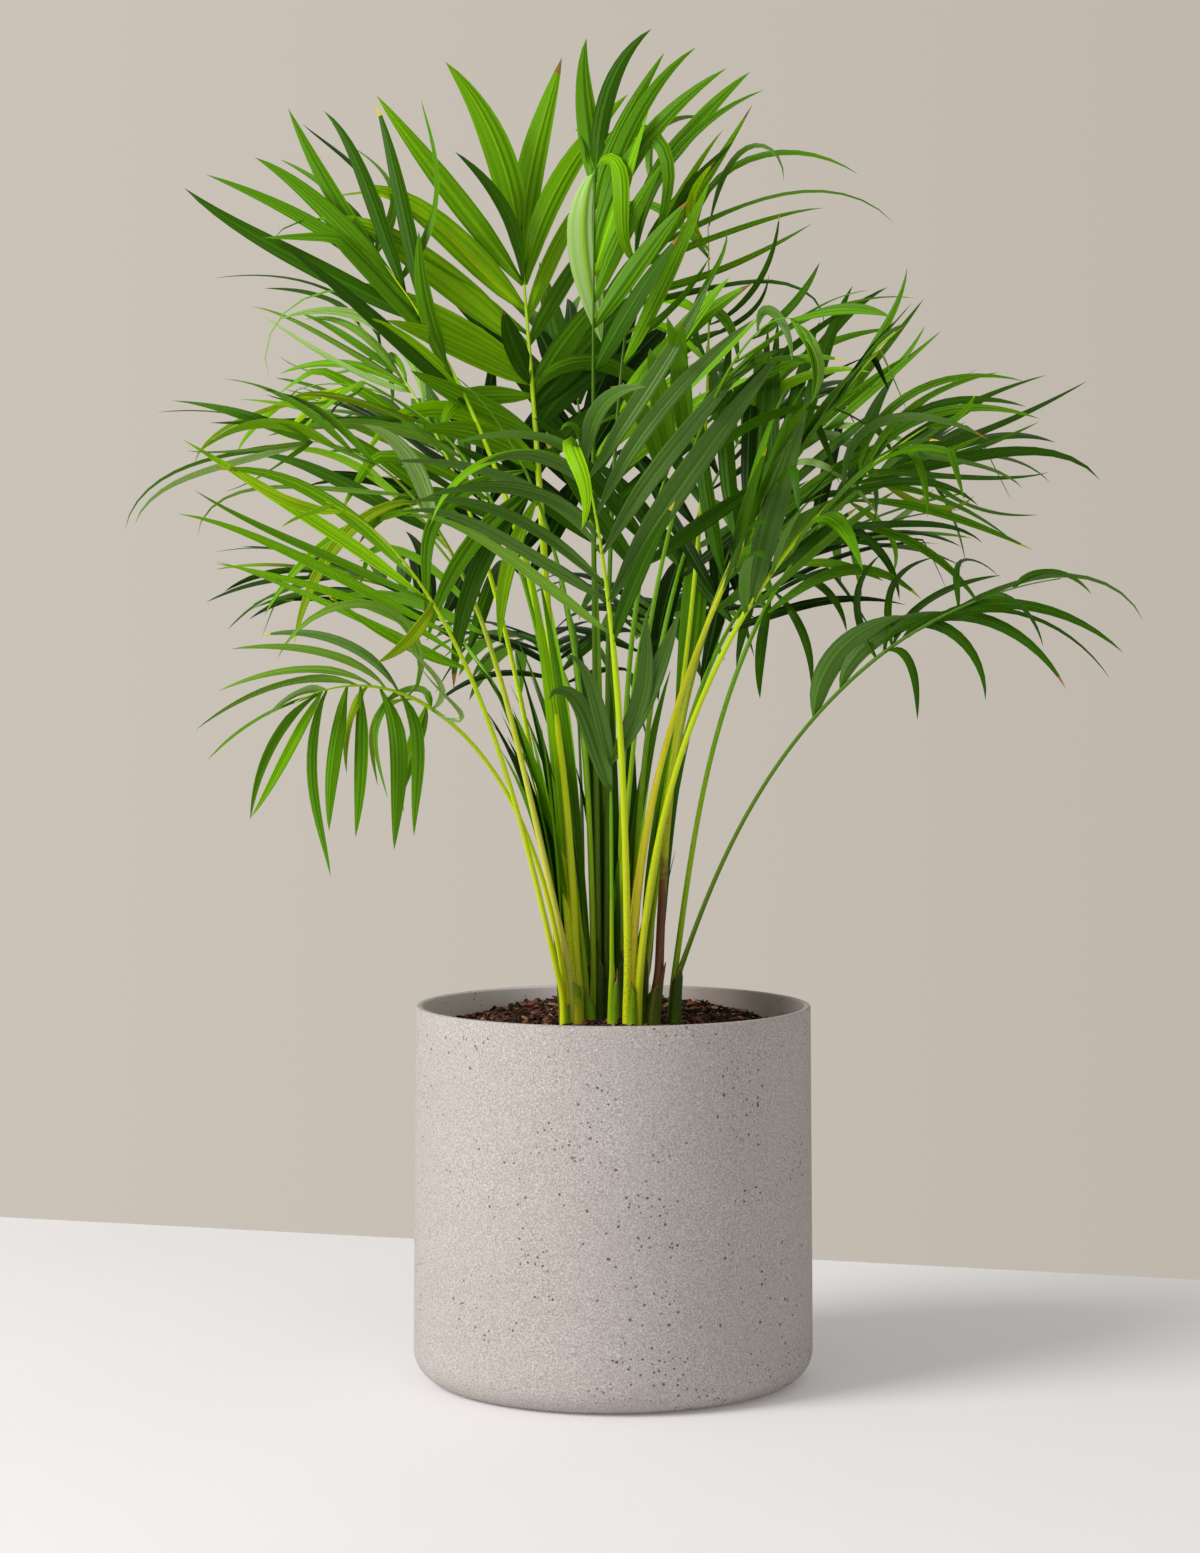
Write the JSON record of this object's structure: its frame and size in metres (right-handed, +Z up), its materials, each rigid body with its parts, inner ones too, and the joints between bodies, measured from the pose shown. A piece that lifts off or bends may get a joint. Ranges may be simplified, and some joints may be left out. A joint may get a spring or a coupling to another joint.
{
  "type": "potted areca palm",
  "caption": "Clump of slender palm stems with arching feathery fronds in a straight round concrete planter, standing free on its flat underside.",
  "frame": {"origin": "centre of the planter's flat underside, on the surface it stands on", "axes": "+Z up along the planter's axis, -Y towards the front that the picture shows, +X to the right of it"},
  "size_m": [0.646, 0.6874, 0.8597],
  "materials": {
    "pot_concrete": "matt sandy concrete with small pits",
    "potting_mix": "loose bark and coir chips",
    "stem_green": "smooth waxy sheath",
    "petiole_green": "smooth waxy stalk",
    "leaf_green": "satin leaf with fine lengthwise ribs"
  },
  "bodies": {
    "root": {"pot": "pot_concrete", "soil": "potting_mix", "stem_1": "stem_green", "stem_2": "stem_green", "stem_3": "stem_green", "stem_4": "stem_green", "stem_5": "stem_green", "stem_6": "stem_green", "stem_7": "stem_green", "stem_8": "stem_green", "stem_9": "stem_green", "stem_10": "stem_green", "stem_11": "stem_green", "stem_12": "stem_green", "stem_13": "stem_green", "petiole_right_front": "petiole_green", "petiole_right_back": "petiole_green", "petiole_right_low": "petiole_green", "petiole_left_front": "petiole_green", "petiole_left_arching": "petiole_green", "petiole_left_low": "petiole_green", "petiole_left_middle": "petiole_green", "petiole_front_right": "petiole_green", "petiole_back_centre": "petiole_green", "petiole_back_right": "petiole_green", "petiole_back_left": "petiole_green", "petiole_back_low_right": "petiole_green", "petiole_side_right": "petiole_green", "petiole_side_left": "petiole_green", "petiole_back_low_left": "petiole_green", "petiole_inner_right": "petiole_green", "petiole_inner_left": "petiole_green", "frond_top_centre": "leaf_green", "frond_upper_left": "leaf_green", "frond_top_back": "leaf_green", "frond_top_right": "leaf_green", "frond_upper_right_thin": "leaf_green", "frond_right_front": "leaf_green", "frond_right_back": "leaf_green", "frond_right_high": "leaf_green", "frond_right_inner": "leaf_green", "frond_right_low": "leaf_green", "frond_front_centre": "leaf_green", "frond_left_front": "leaf_green", "frond_left_arching": "leaf_green", "frond_left_low": "leaf_green", "frond_left_high": "leaf_green", "frond_left_middle": "leaf_green", "frond_front_right": "leaf_green", "frond_front_young": "leaf_green", "frond_back_centre": "leaf_green", "frond_back_right": "leaf_green", "frond_back_left": "leaf_green", "frond_back_low_right": "leaf_green", "frond_side_right": "leaf_green", "frond_side_left": "leaf_green", "frond_back_low_left": "leaf_green", "frond_inner_right": "leaf_green", "frond_inner_left": "leaf_green"}
  },
  "joints": []
}
